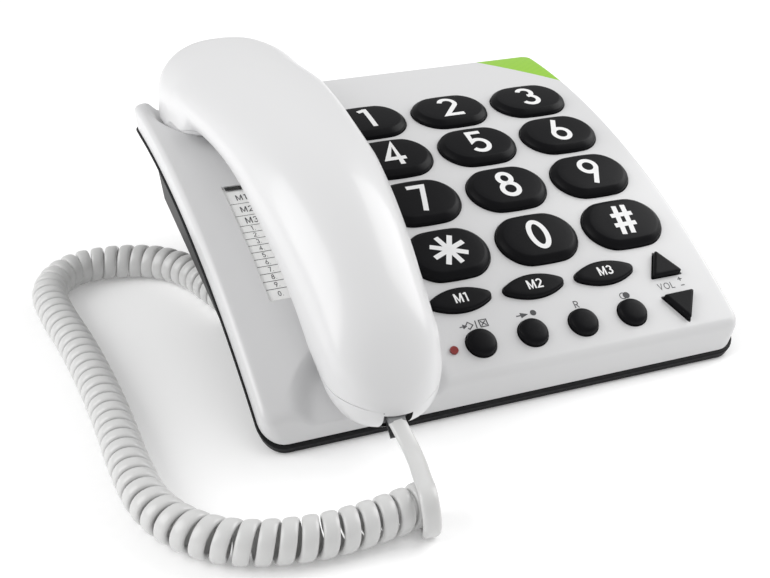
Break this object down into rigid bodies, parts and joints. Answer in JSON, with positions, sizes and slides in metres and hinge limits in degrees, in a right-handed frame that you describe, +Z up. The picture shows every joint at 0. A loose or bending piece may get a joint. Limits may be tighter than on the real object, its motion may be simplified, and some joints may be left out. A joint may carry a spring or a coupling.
{
  "type": "corded telephone",
  "caption": "Corded desk telephone with big keys, a memory list under the handset, a wedge stand and a curly handset cord.",
  "frame": {"origin": "on the desk, below the middle of the base and handset together, the cord left out", "axes": "+Z up, +Y towards the back of the telephone, +X to its right as the user sees it"},
  "size_m": [0.2499, 0.2586, 0.0978],
  "materials": {
    "shell_white": "glossy",
    "handset_white": "glossy",
    "key_black": "satin",
    "band_black": "satin",
    "under_grey": "fine texture",
    "foot_rubber": "matte",
    "mat_rubber": "matte",
    "board_green": "satin",
    "card_paper": "matte",
    "clear_cover": "clear",
    "lamp_red": "glossy",
    "steel": "satin",
    "jack_black": "satin",
    "plug_clear": "clear",
    "cord_light": "glossy"
  },
  "bodies": {
    "base": {"upper_housing": "shell_white", "rim_band": "band_black", "lower_housing": "under_grey", "desk_stand": "under_grey", "rubber_feet": "foot_rubber", "circuit_board": "board_green", "keypad_mat": "mat_rubber", "name_card": "card_paper", "card_cover": "clear_cover", "status_lamp": "lamp_red", "ringer_speaker": "steel", "handset_cord_jack": "jack_black", "line_jack": "jack_black", "base_plug": "plug_clear", "cord_lead_base": "cord_light", "cord_coil": "cord_light", "cord_lead_handset": "cord_light"},
    "handset": {"handset_shell": "handset_white", "handset_cover": "handset_white", "receiver_capsule": "steel", "microphone_capsule": "steel", "handset_weight": "steel", "handset_jack": "jack_black", "handset_plug": "plug_clear"},
    "hook": {"hook_plunger": "shell_white"},
    "ringer": {"ringer_switch": "jack_black"},
    "key_1": {"key_1": "key_black"},
    "key_2": {"key_2": "key_black"},
    "key_3": {"key_3": "key_black"},
    "key_4": {"key_4": "key_black"},
    "key_5": {"key_5": "key_black"},
    "key_6": {"key_6": "key_black"},
    "key_7": {"key_7": "key_black"},
    "key_8": {"key_8": "key_black"},
    "key_9": {"key_9": "key_black"},
    "key_star": {"key_star": "key_black"},
    "key_0": {"key_0": "key_black"},
    "key_hash": {"key_hash": "key_black"},
    "key_memory_1": {"key_memory_1": "key_black"},
    "key_memory_2": {"key_memory_2": "key_black"},
    "key_memory_3": {"key_memory_3": "key_black"},
    "key_store": {"key_store": "key_black"},
    "key_redial": {"key_redial": "key_black"},
    "key_recall": {"key_recall": "key_black"},
    "key_mute": {"key_mute": "key_black"},
    "key_volume_up": {"key_volume_up": "key_black"},
    "key_volume_down": {"key_volume_down": "key_black"}
  },
  "joints": [
    {"name": "handset_lift", "type": "slide", "parent": "base", "child": "handset", "axis": [0, 0, 1], "range_m": [0, 0.06]},
    {"name": "hook_rise", "type": "slide", "parent": "base", "child": "hook", "axis": [0, 0, 1], "range_m": [0, 0.003]},
    {"name": "ringer_slide", "type": "slide", "parent": "base", "child": "ringer", "axis": [0, 0.9329, 0.3603], "range_m": [-0.003, 0.003]},
    {"name": "key_1_press", "type": "slide", "parent": "base", "child": "key_1", "axis": [0, 0.342, -0.9397], "range_m": [0, 0.0015], "stiffness_N_per_m": 300, "springref_m": -0.001},
    {"name": "key_2_press", "type": "slide", "parent": "base", "child": "key_2", "axis": [0, 0.342, -0.9397], "range_m": [0, 0.0015], "stiffness_N_per_m": 300, "springref_m": -0.001},
    {"name": "key_3_press", "type": "slide", "parent": "base", "child": "key_3", "axis": [0, 0.342, -0.9397], "range_m": [0, 0.0015], "stiffness_N_per_m": 300, "springref_m": -0.001},
    {"name": "key_4_press", "type": "slide", "parent": "base", "child": "key_4", "axis": [0, 0.342, -0.9397], "range_m": [0, 0.0015], "stiffness_N_per_m": 300, "springref_m": -0.001},
    {"name": "key_5_press", "type": "slide", "parent": "base", "child": "key_5", "axis": [0, 0.342, -0.9397], "range_m": [0, 0.0015], "stiffness_N_per_m": 300, "springref_m": -0.001},
    {"name": "key_6_press", "type": "slide", "parent": "base", "child": "key_6", "axis": [0, 0.342, -0.9397], "range_m": [0, 0.0015], "stiffness_N_per_m": 300, "springref_m": -0.001},
    {"name": "key_7_press", "type": "slide", "parent": "base", "child": "key_7", "axis": [0, 0.342, -0.9397], "range_m": [0, 0.0015], "stiffness_N_per_m": 300, "springref_m": -0.001},
    {"name": "key_8_press", "type": "slide", "parent": "base", "child": "key_8", "axis": [0, 0.342, -0.9397], "range_m": [0, 0.0015], "stiffness_N_per_m": 300, "springref_m": -0.001},
    {"name": "key_9_press", "type": "slide", "parent": "base", "child": "key_9", "axis": [0, 0.342, -0.9397], "range_m": [0, 0.0015], "stiffness_N_per_m": 300, "springref_m": -0.001},
    {"name": "key_star_press", "type": "slide", "parent": "base", "child": "key_star", "axis": [0, 0.342, -0.9397], "range_m": [0, 0.0015], "stiffness_N_per_m": 300, "springref_m": -0.001},
    {"name": "key_0_press", "type": "slide", "parent": "base", "child": "key_0", "axis": [0, 0.342, -0.9397], "range_m": [0, 0.0015], "stiffness_N_per_m": 300, "springref_m": -0.001},
    {"name": "key_hash_press", "type": "slide", "parent": "base", "child": "key_hash", "axis": [0, 0.342, -0.9397], "range_m": [0, 0.0015], "stiffness_N_per_m": 300, "springref_m": -0.001},
    {"name": "key_memory_1_press", "type": "slide", "parent": "base", "child": "key_memory_1", "axis": [0, 0.342, -0.9397], "range_m": [0, 0.0015], "stiffness_N_per_m": 300, "springref_m": -0.001},
    {"name": "key_memory_2_press", "type": "slide", "parent": "base", "child": "key_memory_2", "axis": [0, 0.342, -0.9397], "range_m": [0, 0.0015], "stiffness_N_per_m": 300, "springref_m": -0.001},
    {"name": "key_memory_3_press", "type": "slide", "parent": "base", "child": "key_memory_3", "axis": [0, 0.342, -0.9397], "range_m": [0, 0.0015], "stiffness_N_per_m": 300, "springref_m": -0.001},
    {"name": "key_store_press", "type": "slide", "parent": "base", "child": "key_store", "axis": [0, 0.342, -0.9397], "range_m": [0, 0.0015], "stiffness_N_per_m": 300, "springref_m": -0.001},
    {"name": "key_redial_press", "type": "slide", "parent": "base", "child": "key_redial", "axis": [0, 0.342, -0.9397], "range_m": [0, 0.0015], "stiffness_N_per_m": 300, "springref_m": -0.001},
    {"name": "key_recall_press", "type": "slide", "parent": "base", "child": "key_recall", "axis": [0, 0.342, -0.9397], "range_m": [0, 0.0015], "stiffness_N_per_m": 300, "springref_m": -0.001},
    {"name": "key_mute_press", "type": "slide", "parent": "base", "child": "key_mute", "axis": [0, 0.342, -0.9397], "range_m": [0, 0.0015], "stiffness_N_per_m": 300, "springref_m": -0.001},
    {"name": "key_volume_up_press", "type": "slide", "parent": "base", "child": "key_volume_up", "axis": [0, 0.342, -0.9397], "range_m": [0, 0.0015], "stiffness_N_per_m": 300, "springref_m": -0.001},
    {"name": "key_volume_down_press", "type": "slide", "parent": "base", "child": "key_volume_down", "axis": [0, 0.342, -0.9397], "range_m": [0, 0.0015], "stiffness_N_per_m": 300, "springref_m": -0.001}
  ],
  "couplings": [
    {"joint": "hook_rise", "follows": "handset_lift", "ratio": 0.05}
  ]
}
